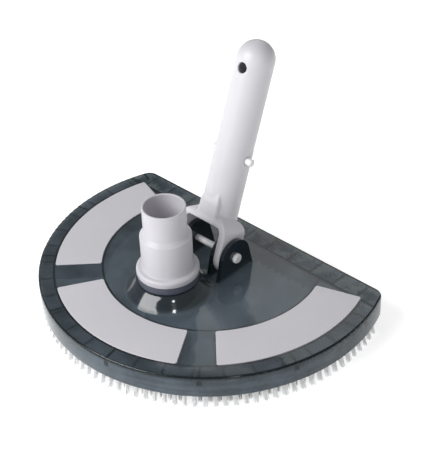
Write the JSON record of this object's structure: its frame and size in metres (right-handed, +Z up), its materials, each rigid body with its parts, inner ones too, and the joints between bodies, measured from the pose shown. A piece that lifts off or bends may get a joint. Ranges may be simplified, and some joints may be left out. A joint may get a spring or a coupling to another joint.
{
  "type": "manual vacuum head",
  "caption": "Half-moon pool vacuum head with weighted panels, brushes under the rim, a swivelling stepped hose connector and a hinged clip-in pole handle.",
  "frame": {"origin": "centre of the bounding box on the floor, under the middle of the head", "axes": "+X along the head's width, +Y towards the flat back edge, +Z up out of the hose connector"},
  "size_m": [0.265, 0.1994, 0.1922],
  "materials": {
    "smoke_plastic": "smoke-tinted clear plastic, glossy",
    "panel_plastic": "satin moulded plastic",
    "weight_steel": "coated, dull",
    "strip_plastic": "moulded",
    "nylon_bristle": "clear-white nylon filament",
    "screw_steel": "plain",
    "white_plastic": "moulded, light gloss",
    "handle_plastic": "moulded, light gloss",
    "button_plastic": "moulded",
    "pin_plastic": "moulded",
    "washer_plastic": "moulded",
    "ring_plastic": "moulded",
    "spring_steel": "spring strip"
  },
  "bodies": {
    "head": {"head_shell": "smoke_plastic", "left_panel_cover": "panel_plastic", "front_panel_cover": "panel_plastic", "right_panel_cover": "panel_plastic", "left_weight": "weight_steel", "front_weight": "weight_steel", "right_weight": "weight_steel", "panel_screws": "screw_steel", "left_brush_strip": "strip_plastic", "front_brush_strip": "strip_plastic", "right_brush_strip": "strip_plastic", "left_bristles": "nylon_bristle", "front_bristles": "nylon_bristle", "right_bristles": "nylon_bristle", "back_brush_strip": "strip_plastic", "back_bristles": "nylon_bristle", "swivel_washer": "washer_plastic", "pivot_pin": "pin_plastic", "pin_cap": "pin_plastic"},
    "connector": {"hose_connector": "white_plastic", "retaining_ring": "ring_plastic"},
    "handle": {"handle": "handle_plastic", "clip_spring": "spring_steel"},
    "right_button": {"right_button": "button_plastic"},
    "left_button": {"left_button": "button_plastic"}
  },
  "joints": [
    {"name": "hose_swivel", "type": "hinge", "parent": "head", "child": "connector", "pos_m": [0, -0.01373, 0.0453], "axis": [0, 0, 1], "continuous": true},
    {"name": "handle_pivot", "type": "hinge", "parent": "head", "child": "handle", "pos_m": [0, 0.03087, 0.0435], "axis": [-1, 0, 0], "range_deg": [-27, 62]},
    {"name": "right_button_press", "type": "slide", "parent": "handle", "child": "right_button", "axis": [-1, 0, 0], "range_m": [0, 0.0046], "stiffness_N_per_m": 400, "springref_m": -0.004, "deforming": ["clip_spring"]},
    {"name": "left_button_press", "type": "slide", "parent": "handle", "child": "left_button", "axis": [1, 0, 0], "range_m": [0, 0.0046], "stiffness_N_per_m": 400, "springref_m": -0.004, "deforming": ["clip_spring"]}
  ]
}
